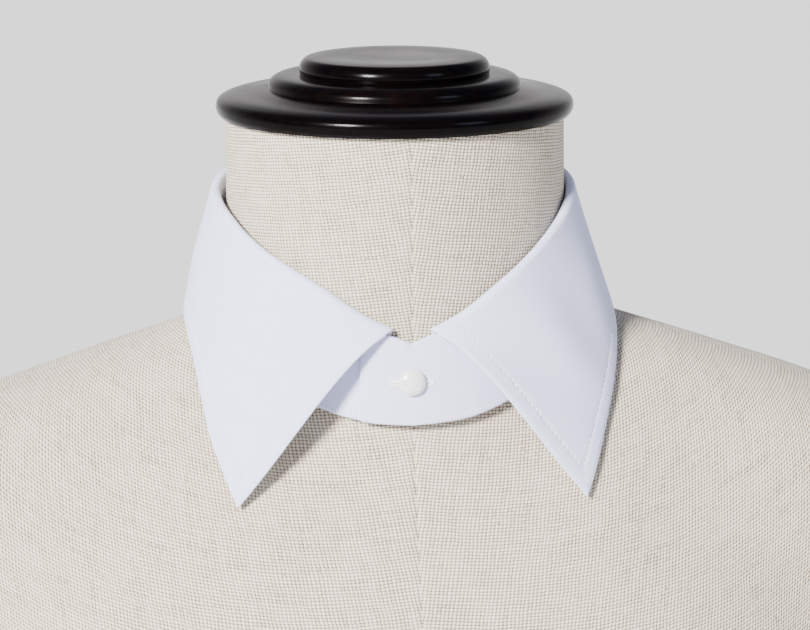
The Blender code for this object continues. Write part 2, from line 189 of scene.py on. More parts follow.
# Rows and sections of the leaf's mesh
LEG_ROWS = 4
ROLL_ROWS = 16
FALL_ROWS = 34
EDGE_STEPS = (0.0, 0.08, 0.2, 0.36, 0.58, 0.78, 0.95, 1.12, 1.35, 1.65, 2.2, 3.0, 3.7, 4.25, 4.6, 4.95, 5.25, 5.5, 5.7,
              5.9, 6.15, 6.45, 6.9, 7.6)
FRONT_STEPS = (0.0, 0.08, 0.18, 0.32, 0.5, 0.75, 0.95, 1.15, 1.35, 1.6, 2.1, 2.8, 3.5, 4.1, 4.6, 4.95, 5.3, 5.65,
               6.0, 6.35, 6.7, 7.1, 7.6, 8.3, 9.2)
STITCH_ROW = 22             # the leaf's topstitching starts below the roll

# Cap: stretches of the turned profile as (radius, drop), each smooth within itself
CAP_PROFILE = (
    ((0.0000, 0.0000), (0.0150, 0.0000), (0.0302, 0.0000), (0.0320, 0.0004), (0.0336, 0.0017),
     (0.0344, 0.0037), (0.0342, 0.0059)),
    ((0.0342, 0.0059), (0.0395, 0.0061), (0.0430, 0.0068), (0.0452, 0.0085), (0.0459, 0.0108)),
    ((0.0459, 0.0108), (0.0520, 0.0120), (0.0622, 0.0138), (0.0640, 0.0150), (0.0646, 0.0169),
     (0.0643, 0.0188), (0.0632, 0.0204)),
    ((0.0632, 0.0204), (0.0400, 0.0204), (0.0000, 0.0204)),
)


def curve(rows, column):
    """A smooth curve through one column of a table, read against the table's first column."""
    at = np.array([row[0] for row in rows])
    value = np.array([row[column] for row in rows])
    step = np.diff(at)
    rise = np.diff(value) / step
    product = rise[:-1] * rise[1:]
    mean = np.where(product > 0, 2 * product / np.where(product > 0, rise[:-1] + rise[1:], 1), 0)
    slope = np.concatenate([rise[:1], mean, rise[-1:]])

    def read(x):
        x = np.clip(x, at[0], at[-1])
        i = np.clip(np.searchsorted(at, x) - 1, 0, len(step) - 1)
        t = (x - at[i]) / step[i]
        start = (1 + 2 * t) * (1 - t) ** 2 * value[i] + t * (1 - t) ** 2 * step[i] * slope[i]
        return start + t * t * (3 - 2 * t) * value[i + 1] + t * t * (t - 1) * step[i] * slope[i + 1]

    return read


def ease(x):
    """A soft step from 0 to 1 as x goes from 0 to 1."""
    x = np.clip(x, 0.0, 1.0)
    return x * x * (3 - 2 * x)


def ease_between(x, limits):
    """A soft step from 0 to 1 as x goes from the first limit to the second."""
    start, stop = limits
    return ease((x - start) / (stop - start))


def ring(across, deep, turn):
    """Radius of an oval round the neck at a turn."""
    return across * deep / np.hypot(deep * np.sin(np.radians(turn)), across * np.cos(np.radians(turn)))


def place(turn, radius, drop):
    """A point from its turn, its radius from the neck's axis and its drop."""
    angle = np.radians(turn)
    return np.array([radius * np.sin(angle), -radius * np.cos(angle), TOP - drop])


def from_front(turn):
    """The angle from the front centre, 0 to 180, whichever way round."""
    return abs((turn + 180.0) % 360.0 - 180.0)


def lap(turn):
    """How far a layer moves out at the end that lies over, or in at the end that lies under."""
    over = 1 - ease_between(turn, OVER_EASES)
    under = ease_between(turn, UNDER_EASES)
    return LAP / 2 * (over - under)


neckline_rule = {column: curve(NECKLINE, column) for column in (CREST, FOOT)}
leaf_rule = {column: curve(LEAF, column) for column in range(EDGE_TURN, FULLNESS + 1)}
trunk_rule = {column: curve(TRUNK, column) for column in (WIDTH, FRONT, BACK)}
shoulder_rule = {column: curve(SHOULDERS, column) for column in (LOBE_WIDTH, LOBE_DEPTH, LOBE_SQUARE)}


def worn(turn):
    """How unevenly the collar is worn: 1 over the left shoulder, -1 over the right, 0 elsewhere."""
    front = from_front(turn)
    side = 1.0 if turn <= 180.0 else -1.0
    return side * ease_between(front, WORN_FRONT) * (1 - ease_between(front, WORN_BACK))


def crest_drop(turn):
    return neckline_rule[CREST](from_front(turn)) - WORN_LIFT * worn(turn)


def foot_drop(turn):
    return neckline_rule[FOOT](from_front(turn))


def roll_radius(turn):
    """Radius of the fold's roll."""
    return ROLL_SIDE + (ROLL_FRONT - ROLL_SIDE) * (1 - ease_between(from_front(turn), ROLL_EASES))


def seam_radius(turn):
    """Middle of the wall at the seam where the stand meets the leaf."""
    return ring(FOLD_ACROSS, FOLD_DEEP, turn) - roll_radius(turn) + lap(turn)


def seam_drop(turn):
    below = SEAM_FRONT + (SEAM_SIDE - SEAM_FRONT) * ease(from_front(turn) / SEAM_EASES)
    return crest_drop(turn) + below


def slit_half(turn):
    """Half the height of the buttonhole's opening, which the stud's shank spreads."""
    away = abs((turn + 180.0) % 360.0 - 180.0) * radians(1) * FOOT_DEEP
    along = np.clip(1 - (away / BUTTONHOLE) ** 2, 0.0, 1.0)
    spread = (STUD_SHANK + 0.05 * MM) * np.exp(-((away / (2.6 * MM)) ** 2))
    return np.where(away < BUTTONHOLE, 0.12 * MM * np.sqrt(along) + spread, 0.0)


def stand_section(turn, from_end, above, below):
    """The stand's middle line at a turn, top to bottom, parted at the stud's level."""
    def corner(size):
        return size - np.sqrt(max(size**2 - max(size - from_end, 0.0) ** 2, 0.0))

    full_top, full_foot = seam_drop(turn), foot_drop(turn)
    top = full_top + corner(TOP_CORNER)
    foot = full_foot - corner(LOW_CORNER)
    foot_radius = ring(FOOT_ACROSS, FOOT_DEEP, turn) + lap(turn)
    front = from_front(turn)
    middle = STUD_DROP + ((top + foot) / 2 - STUD_DROP) * ease((front - 12.0) / 25.0)
    half = float(slit_half(turn)) + 0.01 * MM
    drops = [top + (middle - half - top) * level for level in above]
    drops += [middle + half + (foot - middle - half) * level for level in below]
    points = []
    for drop in drops:
        down = max((drop - full_top) / (full_foot - full_top), 0.0)
        radius = seam_radius(turn) + (foot_radius - seam_radius(turn)) * down**STAND_FLARE
        points.append(place(turn, radius, drop))
    return points


def leaf_section(turn, leg_steps, roll_steps, from_edge):
    """The leaf's middle line at a fold turn: up from the seam, over the roll and down to its edge.

    from_edge lists how far above the outer edge the last points lie, as lengths from the edge up.
    """
    front = from_front(turn)
    side = 1.0 if turn <= 180.0 else -1.0
    rule = {column: float(read(front)) for column, read in leaf_rule.items()}
    radius, roll, crest = seam_radius(turn), roll_radius(turn), crest_drop(turn)
    lateral, outward = rule[SIDEWAYS], rule[OUTWARD]
    down = np.sqrt(1 - lateral**2)
    angle = radians(turn)
    out = np.array([sin(angle), -cos(angle), 0.0])
    along = np.array([cos(angle), sin(angle), 0.0]) * side
    fall = np.array([0.0, 0.0, -1.0])

    points = []
    for drop in np.linspace(seam_drop(turn) - GAP, crest + roll, leg_steps, endpoint=False):
        points.append(place(turn, radius, drop))
    centre = place(turn, radius + roll, crest + roll)
    last = pi - np.arctan(outward)
    for bend in np.linspace(0, last, roll_steps):
        slide = lateral / down * roll * (bend - sin(bend)) / 2
        round_roll = out * roll * cos(bend) + fall * roll * sin(bend)
        points.append(centre - round_roll + along * min(slide, 2 * roll))
    start = points[-1]
    edge_radius = rule[EDGE_RADIUS] + WORN_SPLAY * worn(turn)
    end = place(side * rule[EDGE_TURN], edge_radius, rule[EDGE_DROP])
    chord = end - start
    length = np.linalg.norm(chord)
    leave = along * lateral + fall * down + out * outward
    leave *= rule[FULLNESS] * length / np.linalg.norm(leave)
    arrive = chord - EDGE_HANG * length * out

    def fall_at(t):
        t = np.asarray(t)[:, None]
        return ((1 + 2 * t) * (1 - t) ** 2 * start + t * (1 - t) ** 2 * leave
                + t * t * (3 - 2 * t) * end + t * t * (t - 1) * arrive)

    fine = np.linspace(0, 1, 200)
    run = np.concatenate([[0.0], np.cumsum(np.linalg.norm(np.diff(fall_at(fine), axis=0), axis=1))])
    near = np.array(from_edge)
    upper = np.linspace(0, run[-1] - near[-1], FALL_ROWS + 1)[1:-1]
    stops = np.concatenate([upper, run[-1] - near[::-1]])
    return points + list(fall_at(np.interp(stops, run, fine)))


def melt(a, b):
    """The larger of two radii, with a soft fillet where they are nearly equal."""
    near = np.clip(1 - np.abs(a - b) / BLEND, 0.0, 1.0)
    return np.maximum(a, b) + near**2 * BLEND / 4


def oval(turn, across, deep, square):
    """Radius of a squarish oval at a turn: an ellipse where square is 2, a box where it is large."""
    angle = np.radians(turn)
    wide = (np.abs(np.sin(angle)) / across) ** square
    long = (np.abs(np.cos(angle)) / deep) ** square
    return (wide + long) ** (-1 / square)


def form_radius(turn, drop):
    """Radius of the covered form at a turn and a drop."""
    neck = NECK_RADIUS + NECK_FLARE * (drop - NECK_TOP)
    neck = np.where(drop < NECK_HIDDEN, neck, NECK_RADIUS)
    facing = np.cos(np.radians(turn))
    trunk = oval(turn, trunk_rule[WIDTH](drop),
                 np.where(facing > 0, trunk_rule[FRONT](drop), trunk_rule[BACK](drop)), SQUARENESS)
    depth = shoulder_rule[LOBE_DEPTH](drop) - SHOULDER_BACK * facing
    shoulder = oval(turn, shoulder_rule[LOBE_WIDTH](drop), depth, shoulder_rule[LOBE_SQUARE](drop))
    return melt(melt(neck, trunk), shoulder)


# Meshes

def grid_normals(grid):
    """Unit normals of a grid of points, worked out from its neighbours."""
    along = np.gradient(grid, axis=0)
    across = np.gradient(grid, axis=1)
    normal = np.cross(along, across)
    return normal / np.maximum(np.linalg.norm(normal, axis=2, keepdims=True), 1e-12)


def nearest_on_line(points, line):
    """Distance from each point to a polyline, and the run along the line to the nearest place."""
    best = np.full(len(points), np.inf)
    reach = np.zeros(len(points))
    done = 0.0
    for a, b in zip(line[:-1], line[1:]):
        side = b - a
        t = np.clip((points - a) @ side / max(side @ side, 1e-18), 0.0, 1.0)
        apart = np.linalg.norm(points - a - t[:, None] * side, axis=1)
        closer = apart < best
        best = np.where(closer, apart, best)
        reach = np.where(closer, done + t * np.linalg.norm(side), reach)
        done += np.linalg.norm(side)
    return best, reach


def run_lengths(points):
    return np.concatenate([[0.0], np.cumsum(np.linalg.norm(np.diff(points, axis=0), axis=1))])


def add_mesh(name, points, faces, material, maps={}):
    mesh = bpy.data.meshes.new(name)
    mesh.from_pydata([tuple(p) for p in points], [], faces)
    corners = [v for face in faces for v in face]
    for title, values in maps.items():
        layer = mesh.uv_layers.new(name=title)
        layer.data.foreach_set("uv", np.asarray(values)[corners].astype(np.float32).ravel())
    mesh.shade_smooth()
    mesh.materials.append(material)
    mesh.validate()
    item = bpy.data.objects.new(name, mesh)
    bpy.context.scene.collection.objects.link(item)
    return item


def outward(item, angle=50.0):
    """Turn the faces of a closed mesh outwards and keep its hard edges."""
    body = bmesh.new()
    body.from_mesh(item.data)
    bmesh.ops.recalc_face_normals(body, faces=body.faces)
    body.to_mesh(item.data)
    body.free()
    item.data.set_sharp_from_angle(angle=radians(angle))
    return item


def shell(name, outer, inner, skip, material, maps):
    """A closed cloth shell between two grids of points. Cells in skip are holes through it."""
    rows, columns = outer.shape[:2]
    points = np.concatenate([outer.reshape(-1, 3), inner.reshape(-1, 3)])
    back = rows * columns
    solid = {(i, j) for i in range(rows - 1) for j in range(columns - 1)} - skip
    faces = []
    for i, j in sorted(solid):
        a, b = i * columns + j, (i + 1) * columns + j
        faces.append((a, b, b + 1, a + 1))
        faces.append((back + a, back + a + 1, back + b + 1, back + b))
        for beside, p, q in (((i - 1, j), a, a + 1), ((i + 1, j), b + 1, b),
                             ((i, j - 1), b, a), ((i, j + 1), a + 1, b + 1)):
            if beside not in solid:
                faces.append((p, q, back + q, back + p))
    used = sorted({v for face in faces for v in face})
    fresh = {v: k for k, v in enumerate(used)}
    both = {title: np.concatenate([grid.reshape(-1, 2)] * 2)[used] for title, grid in maps.items()}
    return add_mesh(name, points[used], [tuple(fresh[v] for v in face) for face in faces], material, both)


def cloth_shell(name, grid, edge_distance, relief, swell, skip, material, maps):
    """A shell round a grid of middle points, rounded at its free edges, and its outer face."""
    normal = grid_normals(grid)
    middle = grid + normal * relief[..., None]
    near = np.clip(edge_distance / EDGE_ROUND, 0.0, 1.0)
    round_off = np.sqrt(np.maximum(1 - (1 - near) ** 2, 0.0))
    half = CLOTH / 2 * (EDGE_BLUNT + (1 - EDGE_BLUNT) * round_off)
    outer = middle + normal * (half + swell)[..., None]
    inner = middle - normal * (half + 0.4 * swell)[..., None]
    return outward(shell(name, outer, inner, skip, material, maps)), surface_tree(outer)


def sew(name, line, tree, material):
    """A row of stitches laid on a surface along a line: short swollen threads that dip at both ends."""
    spots = [tree.find_nearest(Vector(point)) for point in line]
    line = np.array([spot[0] for spot in spots])
    normals = np.array([spot[1] for spot in spots])
    run = run_lengths(line)
    count = stitch_count(run[-1])
    draw = np.random.default_rng(7)
    points, faces = [], []
    around, stations = 8, 7
    for k in range(count):
        middle = (k + 0.5 + draw.normal(0, 0.02)) * run[-1] / count
        size = STITCH * (1 + draw.normal(0, 0.04))
        first = len(points)
        for station in np.linspace(-1, 1, stations):
            at = np.clip(middle + station * size / 2, 0.3 * MM, run[-1] - 0.3 * MM)
            centre, up, ahead = (np.array([np.interp(x, run, values[:, c]) for c in range(3)])
                                 for x, values in ((at, line), (at, normals), (at + 0.2 * MM, line)))
            up /= np.linalg.norm(up)
            across = np.cross(up, ahead - centre)
            across /= np.linalg.norm(across)
            thick = THREAD / 2 * (0.45 + 0.55 * sqrt(max(1 - station**2, 0.0)))
            sink = THREAD * (0.50 * station**2 - 0.26)
            for side in range(around):
                angle = 2 * pi * side / around
                points.append(centre + across * thick * cos(angle) + up * (thick * sin(angle) * 0.8 - sink))
        faces += tube_faces(first, stations, around)
    return outward(add_mesh(name, points, faces, material), 180.0)


def tube_faces(first, stations, around):
    """Faces of a closed tube whose rings of points follow one another."""
    faces = []
    for s in range(stations - 1):
        for side in range(around):
            a, b = first + s * around + side, first + s * around + (side + 1) % around
            faces.append((a, b, b + around, a + around))
    faces.append(tuple(first + side for side in range(around))[::-1])
    faces.append(tuple(first + (stations - 1) * around + side for side in range(around)))
    return faces


def stitch_count(length):
    return int(length / PITCH)


def inset_line(border, normal, distance, tree):
    """A line on a surface a set distance inside its border."""
    tangent = np.gradient(border, axis=0)
    inward = np.cross(tangent, normal)
    inward /= np.linalg.norm(inward, axis=1, keepdims=True)
    line = np.array([tree.find_nearest(Vector(point))[0] for point in border + inward * distance])
    line = line[nearest_on_line(line, border)[0] > distance * 0.97]
    run = run_lengths(line)
    even = np.arange(0, run[-1], 0.8 * MM)
    return np.array([np.interp(even, run, line[:, c]) for c in range(3)]).T


def facing_out(grid, turns):
    """The grid and its turns in the order that makes its normals point away from the neck."""
    at_back = grid_normals(grid)[len(grid) // 2, -5]
    return (grid[::-1], turns[::-1]) if at_back[1] < 0 else (grid, turns)


def surface_tree(grid):
    rows, columns = grid.shape[:2]
    faces = [(i * columns + j, (i + 1) * columns + j, (i + 1) * columns + j + 1, i * columns + j + 1)
             for i in range(rows - 1) for j in range(columns - 1)]
    return BVHTree.FromPolygons([Vector(p) for p in grid.reshape(-1, 3)], faces)


# Materials

class Paint:
    """A material with a short way to chain its nodes."""

    def __init__(self, name):
        self.material = bpy.data.materials.new(name)
        self.material.use_nodes = True
        self.tree = self.material.node_tree
        self.shader = self.tree.nodes["Principled BSDF"]

    def node(self, kind, **values):
        made = self.tree.nodes.new(kind)
        for key, value in values.items():
            setattr(made, key, value)
        return made

    def link(self, source, socket):
        if hasattr(source, "is_output"):
            self.tree.links.new(source, socket)
        else:
            socket.default_value = source

    def math(self, operation, *values):
        made = self.node("ShaderNodeMath", operation=operation)
        for value, socket in zip(values, made.inputs):
            self.link(value, socket)
        return made.outputs[0]

    def noise(self, vector, scale, detail=2.0, roughness=0.5):
        made = self.node("ShaderNodeTexNoise")
        if vector is not None:
            self.link(vector, made.inputs["Vector"])
        made.inputs["Scale"].default_value = scale
        made.inputs["Detail"].default_value = detail
        made.inputs["Roughness"].default_value = roughness
        return made.outputs["Fac"]

    def vector(self, x, y, z=0.0):
        made = self.node("ShaderNodeCombineXYZ")
        for value, socket in zip((x, y, z), made.inputs):
            self.link(value, socket)
        return made.outputs[0]

    def ramp(self, value, *stops):
        """A colour ramp: each stop is a place and a colour."""
        made = self.node("ShaderNodeValToRGB")
        self.link(value, made.inputs[0])
        ramp = made.color_ramp
        while len(ramp.elements) < len(stops):
            ramp.elements.new(0.5)
        for element, (at, colour) in zip(ramp.elements, stops):
            element.position = at
            element.color = (*colour, 1.0)
        return made.outputs["Color"]

    def span(self, value, low, high, to_low, to_high):
        made = self.node("ShaderNodeMapRange")
        for source, socket in zip((value, low, high, to_low, to_high), made.inputs):
            self.link(source, socket)
        return made.outputs[0]

    def mix(self, share, a, b, blend="MIX"):
        made = self.node("ShaderNodeMix", data_type="RGBA", blend_type=blend)
        self.link(share, made.inputs["Factor"])
        self.link(a, made.inputs["A"])
        self.link(b, made.inputs["B"])
        return made.outputs["Result"]

    def bump(self, height, depth, strength=1.0):
        made = self.node("ShaderNodeBump")
        self.link(height, made.inputs["Height"])
        made.inputs["Strength"].default_value = strength
        made.inputs["Distance"].default_value = depth
        self.link(made.outputs[0], self.shader.inputs["Normal"])
        return made

    def set(self, **values):
        for key, value in values.items():
            self.link(value, self.shader.inputs[key.replace("_", " ")])

    def weave(self, warp, weft, wobble, uneven):
        """A plain weave laid on the cut's own map: the map, its heights and its threads' shades."""
        cut = self.node("ShaderNodeUVMap", uv_map="Cut").outputs[0]
        split = self.node("ShaderNodeSeparateXYZ")
        self.link(cut, split.inputs[0])
        u = self.math("DIVIDE", split.outputs[0], warp)
        v = self.math("DIVIDE", split.outputs[1], weft)
        drift = self.noise(self.vector(self.math("MULTIPLY", u, 0.11), self.math("MULTIPLY", v, 0.11)), 1.0)
        shift = self.math("MULTIPLY", self.math("SUBTRACT", drift, 0.5), wobble)
        u = self.math("ADD", u, shift)
        v = self.math("SUBTRACT", v, shift)
        threads = []
        for across, along, phase in ((u, v, 0.0), (v, u, 1.0)):
            index = self.math("FLOOR", across)
            place_in = self.math("ABSOLUTE", self.math("SUBTRACT", self.math("FRACT", across), 0.5))
            shade = self.noise(self.vector(self.math("MULTIPLY", index, 3.7), self.math("MULTIPLY", along, 0.10), phase * 9.0),
                               1.0, 3.0)
            width = self.math("ADD", 0.47, self.math("MULTIPLY", self.math("SUBTRACT", shade, 0.5), uneven))
            profile = self.math("SQRT", self.math("MAXIMUM", self.math("SUBTRACT", 1.0, self.math(
                "POWER", self.math("DIVIDE", place_in, width), 2.0)), 0.0))
            wave = self.math("SINE", self.math("MULTIPLY", self.math("ADD", self.math("ADD", along, index), phase), pi))
            threads.append((profile, wave, shade))
        heights = [self.math("MULTIPLY", profile, self.math("MULTIPLY_ADD", wave, 0.42, 0.58))
                   for profile, wave, _ in threads]
        top = self.math("MAXIMUM", *heights)
        over = self.math("GREATER_THAN", heights[0], heights[1])
        shade = self.node("ShaderNodeMix", data_type="FLOAT")
        self.link(over, shade.inputs["Factor"])
        self.link(threads[1][2], shade.inputs["A"])
        self.link(threads[0][2], shade.inputs["B"])
        return cut, top, shade.outputs["Result"]


def linen():
    paint = Paint("form_linen")
    cut, height, shade = paint.weave(LINEN_WARP, LINEN_WEFT, 0.9, 0.34)
    # Painted light: the weave's height sets its colour, with painted shade in the gaps and on the thread flanks and a
    # painted highlight on the thread tops.
    knot_highlight_and_shade = paint.ramp(height, (0.32, (0.165, 0.105, 0.068)), (0.54, (0.545, 0.447, 0.328)),
                       (0.74, (0.717, 0.641, 0.505)), (1.0, (0.815, 0.755, 0.630)))
    yarn = paint.ramp(shade, (0.28, (0.80, 0.76, 0.72)), (0.45, (0.96, 0.95, 0.93)), (0.70, (1.0, 1.0, 1.0)))
    woven = paint.mix(1.0, knot_highlight_and_shade, yarn, "MULTIPLY")
    patch = paint.noise(cut, 30.0, 3.0)
    patched = paint.mix(paint.span(patch, 0.45, 0.75, 0.0, 0.5), woven, (0.93, 0.89, 0.84, 1.0), "MULTIPLY")
    fleck_place = paint.node("ShaderNodeTexVoronoi", feature="F1")
    paint.link(cut, fleck_place.inputs["Vector"])
    fleck_place.inputs["Scale"].default_value = 95.0
    fleck = paint.span(fleck_place.outputs["Distance"], 0.03, 0.075, 0.75, 0.0)
    flecked = paint.mix(fleck, patched, (0.30, 0.21, 0.15, 1.0))
    paint.set(Base_Color=flecked, Roughness=0.9, Specular_IOR_Level=0.15, Sheen_Weight=0.12, Sheen_Roughness=0.6)
    paint.bump(height, 0.45 * MM)
    return paint.material


def cotton():
    """Fine bluish-white poplin, with painted shade in the low places of its weave and a dimple at each needle hole of
    its topstitching, darkened with painted shade.
    """
    paint = Paint("collar_cloth")
    cut, height, shade = paint.weave(COTTON_PITCH, COTTON_PITCH, 0.5, 0.12)
    yarn = paint.ramp(shade, (0.2, (0.68, 0.715, 0.95)), (0.8, (0.75, 0.78, 1.0)))
    # Painted shade: the cloth darkens to a bluish grey where the weave sits low, between the threads.
    dip = paint.span(height, 0.1, 0.6, 0.16, 0.0)
    woven = paint.mix(dip, yarn, (0.50, 0.54, 0.72, 1.0))
    soft = paint.noise(cut, 60.0, 4.0)
    shaded = paint.mix(paint.span(soft, 0.3, 0.75, 0.0, 0.05), woven, (0.62, 0.65, 0.82, 1.0))
    split = paint.node("ShaderNodeSeparateXYZ")
    paint.link(paint.node("ShaderNodeUVMap", uv_map="Stitching").outputs[0], split.inputs[0])
    from_hole = paint.math("PINGPONG", split.outputs[0], 0.5)
    apart = paint.vector(paint.math("MULTIPLY", from_hole, PITCH / MM), split.outputs[1])
    length = paint.node("ShaderNodeVectorMath", operation="LENGTH")
    paint.link(apart, length.inputs[0])
    reach = length.outputs["Value"]
    # Painted shade: the cloth darkens to a bluish shadow colour round each needle hole's dimple.
    hole_shaded = paint.mix(paint.span(reach, 0.10, 0.42, 0.42, 0.0), shaded, (0.27, 0.30, 0.42, 1.0))
    paint.set(Base_Color=hole_shaded, Roughness=0.8, Specular_IOR_Level=0.25, Sheen_Weight=0.15, Sheen_Roughness=0.5)
    grain = paint.noise(cut, 900.0, 2.0)
    ripple = paint.math("ADD", paint.math("MULTIPLY", height, 0.35), paint.math("MULTIPLY", soft, 0.65))
    ripple = paint.math("ADD", ripple, paint.math("MULTIPLY", grain, 0.35))
    dimple = paint.math("MULTIPLY", paint.span(reach, 0.0, 0.8, 0.0, 1.0), 1.3)
    paint.bump(paint.math("ADD", ripple, dimple), 0.10 * MM)
    return paint.material


def sewing_thread():
    paint = Paint("collar_thread")
    place_at = paint.node("ShaderNodeTexCoord").outputs["Object"]
    ply = paint.noise(place_at, 2600.0, 2.0)
    colour = paint.ramp(ply, (0.3, (0.90, 0.91, 0.95)), (0.7, (0.98, 0.985, 0.99)))
    paint.set(Base_Color=colour, Roughness=0.55, Sheen_Weight=0.2)
    paint.bump(ply, 0.05 * MM)
    return paint.material


def lacquer():
    paint = Paint("cap_wood")
    place_at = paint.node("ShaderNodeTexCoord").outputs["Object"]
    split = paint.node("ShaderNodeSeparateXYZ")
    paint.link(place_at, split.inputs[0])
    fibre = paint.vector(paint.math("MULTIPLY", split.outputs[0], 18.0), paint.math("MULTIPLY", split.outputs[1], 420.0),
                         paint.math("MULTIPLY", split.outputs[2], 420.0))
    grain = paint.noise(fibre, 1.0, 4.0, 0.6)
    cloud = paint.noise(place_at, 35.0, 3.0)
    base = paint.ramp(grain, (0.35, (0.0007, 0.0005, 0.0006)), (0.68, (0.0024, 0.0013, 0.0012)))
    worn_spots = paint.span(cloud, 0.62, 0.76, 0.0, 0.5)
    colour = paint.mix(worn_spots, base, (0.012, 0.0035, 0.0025, 1.0))
    rough = paint.span(cloud, 0.3, 0.7, 0.17, 0.27)
    paint.set(Base_Color=colour, Roughness=rough, Specular_IOR_Level=0.043, Coat_Weight=0.06, Coat_Roughness=0.10)
    paint.bump(paint.math("ADD", grain, cloud), 0.05 * MM, 0.6)
    return paint.material


def pearl():
    paint = Paint("stud_face")
    place_at = paint.node("ShaderNodeTexCoord").outputs["Object"]
    swirl = paint.noise(place_at, 420.0, 3.0, 0.6)
    colour = paint.ramp(swirl, (0.30, (0.70, 0.72, 0.72)), (0.5, (0.88, 0.86, 0.82)), (0.72, (0.95, 0.90, 0.88)))
    paint.set(Base_Color=colour, Roughness=0.22, Coat_Weight=0.6, Coat_Roughness=0.08)
    paint.bump(swirl, 0.04 * MM, 0.5)
    return paint.material


def plain(name, colour, roughness):
    paint = Paint(name)
    tone = paint.noise(paint.node("ShaderNodeTexCoord").outputs["Object"], 3.0)
    dim = tuple(c * 0.985 for c in colour)
    paint.set(Base_Color=paint.ramp(tone, (0.3, dim), (0.7, colour)), Roughness=roughness)
    return paint.material


# Pieces

def leaf_turns():
    """Turns of the leaf's sections, close together along both fronts, as lengths in degrees."""
    near = LEAF_START + np.array(FRONT_STEPS)
    middle = np.linspace(near[-1], 360 - near[-1], 250)[1:-1]
    return np.concatenate([near, middle, 360 - near[::-1]])


def leaf_creases(grid, turns):
    """Soft troughs and ridges of the worn leaf, as heights on its grid."""
    run = np.cumsum(np.linalg.norm(np.diff(grid, axis=1, prepend=grid[:, :1]), axis=2), axis=1)
    down = run / run[:, -1:]
    front = np.array([from_front(turn) for turn in turns])[:, None]
    side = np.where(turns <= 180.0, 1.0, -1.0)[:, None]
    relief = np.zeros(grid.shape[:2])
    # side, turn at the fold, turn at the edge, half width, depth, where along the fall it is deepest
    for which, upper, lower, width, depth, deepest in (
            (1.0, 13.0, 28.0, 6.5, -1.0, 0.55),
            (1.0, 27.0, 38.0, 7.0, 1.1, 0.50),
            (1.0, 42.0, 48.0, 7.5, -0.9, 0.58),
            (1.0, 61.0, 62.0, 9.0, 0.7, 0.55),
            (1.0, 96.0, 92.0, 14.0, -0.6, 0.70),
            (-1.0, 18.0, 31.0, 8.0, -0.8, 0.55),
            (-1.0, 37.0, 44.0, 9.0, 0.9, 0.45),
            (-1.0, 60.0, 58.0, 10.0, -0.9, 0.60),
            (-1.0, 84.0, 88.0, 11.0, 0.6, 0.55),
            (-1.0, 120.0, 124.0, 15.0, -0.6, 0.65)):
        centre = upper + (lower - upper) * down
        across = np.exp(-(((front - centre) / width) ** 2))
        along = np.exp(-(((down - deepest) / 0.28) ** 2))
        relief += np.where(side == which, 1.0, 0.0) * across * along * depth * MM
    return relief


def pucker(distance, inset, run):
    """The swelling of a turned edge, its seam line, and the groove and puckers of its topstitching."""
    groove = -GROOVE * np.exp(-(((distance - inset) / (0.55 * MM)) ** 2))
    inside = np.clip(distance / inset, 0.0, 1.0)
    roll = PUFF * np.sin(pi * inside) * (distance < inset)
    phase = 2 * pi * run / RIPPLE_LENGTH
    ripple = RIPPLE * np.sin(phase + 1.4 * np.sin(0.27 * phase)) * np.exp(-(((distance - inset) / (3 * MM)) ** 2))
    edge_line = -0.12 * MM * np.exp(-(((distance - EDGE_SEAM) / (0.20 * MM)) ** 2))
    return groove + roll + ripple + edge_line


def cloth_maps(grid, across, line):
    """A cut's own map in metres, and a map of its stitching: stitches along, millimetres away."""
    down = np.cumsum(np.linalg.norm(np.diff(grid, axis=1, prepend=grid[:, :1]), axis=2), axis=1)
    away, run = nearest_on_line(grid.reshape(-1, 3), line)
    length = run_lengths(line)[-1]
    stitches = np.stack([run / length * stitch_count(length), away / MM], axis=1).reshape(*down.shape, 2)
    cut = np.stack([np.broadcast_to(across[:, None], down.shape), down], axis=2)
    return {"Cut": cut, "Stitching": stitches}, run.reshape(down.shape)


def ease_ends(grid, turns):
    """Slant the leaf's inner layer back from both fronts, so that the fold ends in a soft apex."""
    row = np.arange(grid.shape[1])
    inner = ease(1 - row / (LEG_ROWS + ROLL_ROWS * 0.9))
    side = np.where(turns <= 180.0, 1.0, -1.0)
    near = ease(1 - (np.array([from_front(turn) for turn in turns]) - LEAF_START) / 6.0)
    eased = grid.copy()
    for k in row:
        wanted = turns + side * near * inner[k] * 1.9
        for c in range(3):
            eased[:, k, c] = np.interp(wanted, turns, grid[:, k, c])
    return eased


def make_leaf(cloth, thread):
    turns = leaf_turns()
    edge_steps = np.array(EDGE_STEPS) * MM
    grid = np.array([leaf_section(turn, LEG_ROWS, ROLL_ROWS, edge_steps) for turn in turns])
    grid, turns = facing_out(ease_ends(grid, turns) + np.array([COLLAR_SHIFT, 0, 0]), turns)
    normal = grid_normals(grid)
    border, border_normal = (np.concatenate([g[0, STITCH_ROW:], g[1:-1, -1], g[-1, STITCH_ROW:][::-1]])
                             for g in (grid, normal))
    free = np.concatenate([grid[0], grid[1:-1, -1], grid[-1][::-1]])
    distance = nearest_on_line(grid.reshape(-1, 3), free)[0].reshape(grid.shape[:2])
    line = inset_line(border, border_normal, LEAF_INSET, surface_tree(grid))
    maps, run = cloth_maps(grid, run_lengths(grid[:, LEG_ROWS + ROLL_ROWS // 2]), line)
    fade = ease((maps["Cut"][..., 1] - 0.018) / 0.012)
    swell = pucker(distance, LEAF_INSET, run) * fade
    item, tree = cloth_shell("leaf_cloth", grid, distance, leaf_creases(grid, turns), swell, set(), cloth, maps)
    return item, sew("leaf_topstitching", line, tree, thread)


def stand_turns():
    """Turns of the stand's sections, close together at the front where both ends show."""
    start, stop = -OVER_END, 360 + OVER_END
    front = np.concatenate([np.array((0.0, 0.08, 0.2, 0.36, 0.55, 0.8)), np.arange(1.1, 34.0, 0.30)])
    middle = np.linspace(start + 34.0, stop - 34.0, 190)
    return np.concatenate([start + front, middle, stop - front[::-1]])


